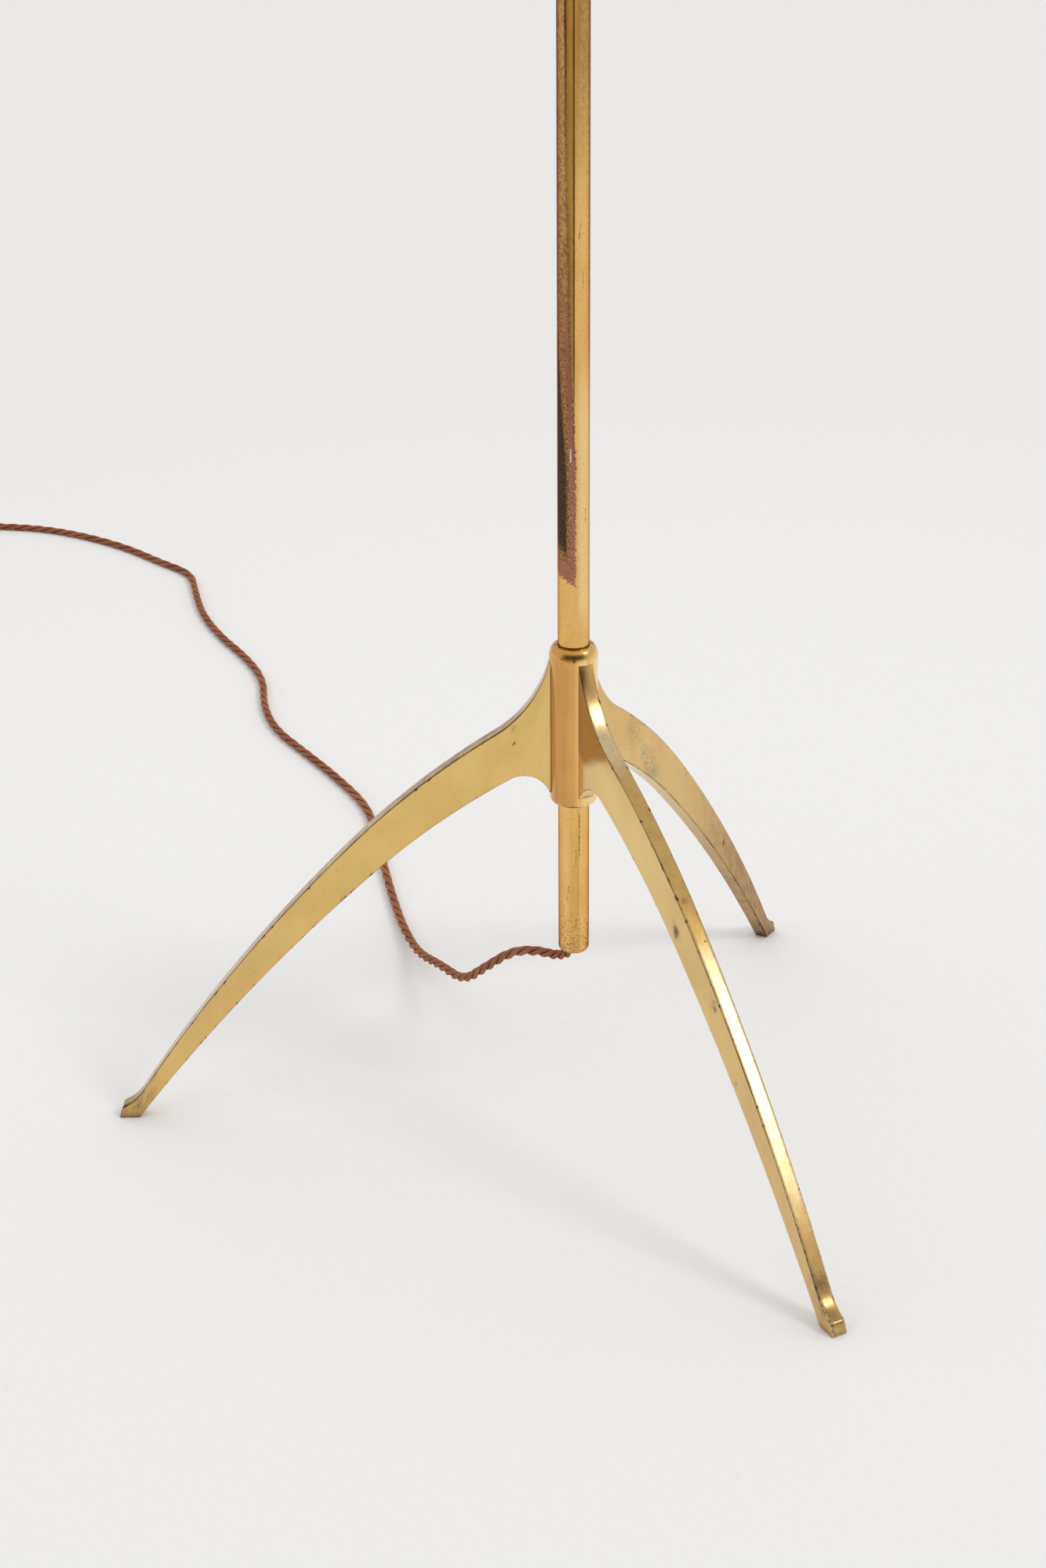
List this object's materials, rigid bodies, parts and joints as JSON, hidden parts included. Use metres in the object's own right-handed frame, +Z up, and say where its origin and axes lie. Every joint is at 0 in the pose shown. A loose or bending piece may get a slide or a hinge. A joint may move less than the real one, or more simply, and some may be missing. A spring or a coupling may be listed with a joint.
{
  "type": "tripod floor lamp",
  "caption": "Brass floor lamp: a tube stem slides in a domed hub on splayed plate legs, with a conical card shade and a twisted cloth flex.",
  "frame": {"origin": "on the floor, under the axis of the stem", "axes": "+Z up along the stem; the left leg points along -X and the flex leaves towards -X +Y"},
  "size_m": [0.8404, 1.2007, 1.4904],
  "materials": {
    "tube_brass": "aged lacquered brass, speckled and stained",
    "hub_brass": "polished brass, darkened in the corners",
    "leg_brass": "satin brass with dark worn edges",
    "fitting_brass": "machined brass fittings",
    "steel": "plated steel screw",
    "flex_cloth": "brown braided cotton over three twisted cores",
    "core_plastic": "core insulation",
    "bush_plastic": "black insulating bush",
    "ceramic": "unglazed lampholder ceramic",
    "switch_plastic": "dark moulded push bar",
    "bulb_metal": "rolled screw cap",
    "bulb_glass": "pearl glass",
    "bulb_tungsten": "tungsten wire",
    "shade_card": "parchment card",
    "shade_tape": "woven edging tape",
    "shade_wire": "white coated wire",
    "tie_tape": "woven strip",
    "plug_plastic": "dark brown moulded plug",
    "plug_rubber": "flexible boot"
  },
  "bodies": {
    "tripod": {"hub": "hub_brass", "leg_left": "leg_brass", "leg_front": "leg_brass", "leg_rear": "leg_brass", "flex_run": "flex_cloth", "flex_coil": "flex_cloth", "flex_tail": "flex_cloth", "coil_tie": "tie_tape", "plug_boot": "plug_rubber", "plug_cover": "plug_plastic", "plug_body": "plug_plastic", "plug_pins": "fitting_brass", "plug_earth_clips": "fitting_brass", "plug_screw": "steel"},
    "clamp": {"clamp_screw": "steel"},
    "stem": {"stem_tube": "tube_brass", "cord_bush": "bush_plastic", "inner_flex": "flex_cloth", "flex_cores": "core_plastic", "stem_nipple": "fitting_brass", "lock_nut": "fitting_brass", "holder_cap": "fitting_brass", "holder_insert": "ceramic", "terminal_screws": "fitting_brass", "holder_contact": "fitting_brass", "holder_screw_shell": "fitting_brass", "holder_liner": "ceramic", "holder_body": "fitting_brass", "shade_ring_lower": "fitting_brass", "shade_ring_upper": "fitting_brass"},
    "switch": {"switch_bar": "switch_plastic"},
    "bulb": {"bulb_cap": "bulb_metal", "bulb_contact": "bulb_metal", "bulb_glass": "bulb_glass", "bulb_mount": "bulb_glass", "bulb_filament": "bulb_tungsten"},
    "shade": {"shade_gallery": "shade_wire", "shade_arms": "shade_wire", "shade_bottom_ring": "shade_wire", "shade_top_ring": "shade_wire", "shade_skin": "shade_card", "shade_trim_bottom": "shade_tape", "shade_trim_top": "shade_tape"}
  },
  "joints": [
    {"name": "stem_slide", "type": "slide", "parent": "tripod", "child": "stem", "axis": [0, 0, 1], "range_m": [-0.036, 0.08], "deforming": ["flex_run"]},
    {"name": "clamp_turn", "type": "hinge", "parent": "tripod", "child": "clamp", "pos_m": [-0.00615, 0.01065, 0.236], "axis": [-0.5, 0.866, 0], "range_deg": [0, 720]},
    {"name": "switch_push", "type": "slide", "parent": "stem", "child": "switch", "axis": [1, 0, 0], "range_m": [-0.006, 0]},
    {"name": "bulb_turn", "type": "hinge", "parent": "stem", "child": "bulb", "pos_m": [0, 0, 1.29], "axis": [0, 0, 1], "range_deg": [0, 720]},
    {"name": "shade_turn", "type": "hinge", "parent": "stem", "child": "shade", "pos_m": [0, 0, 1.2838], "axis": [0, 0, 1], "continuous": true}
  ]
}
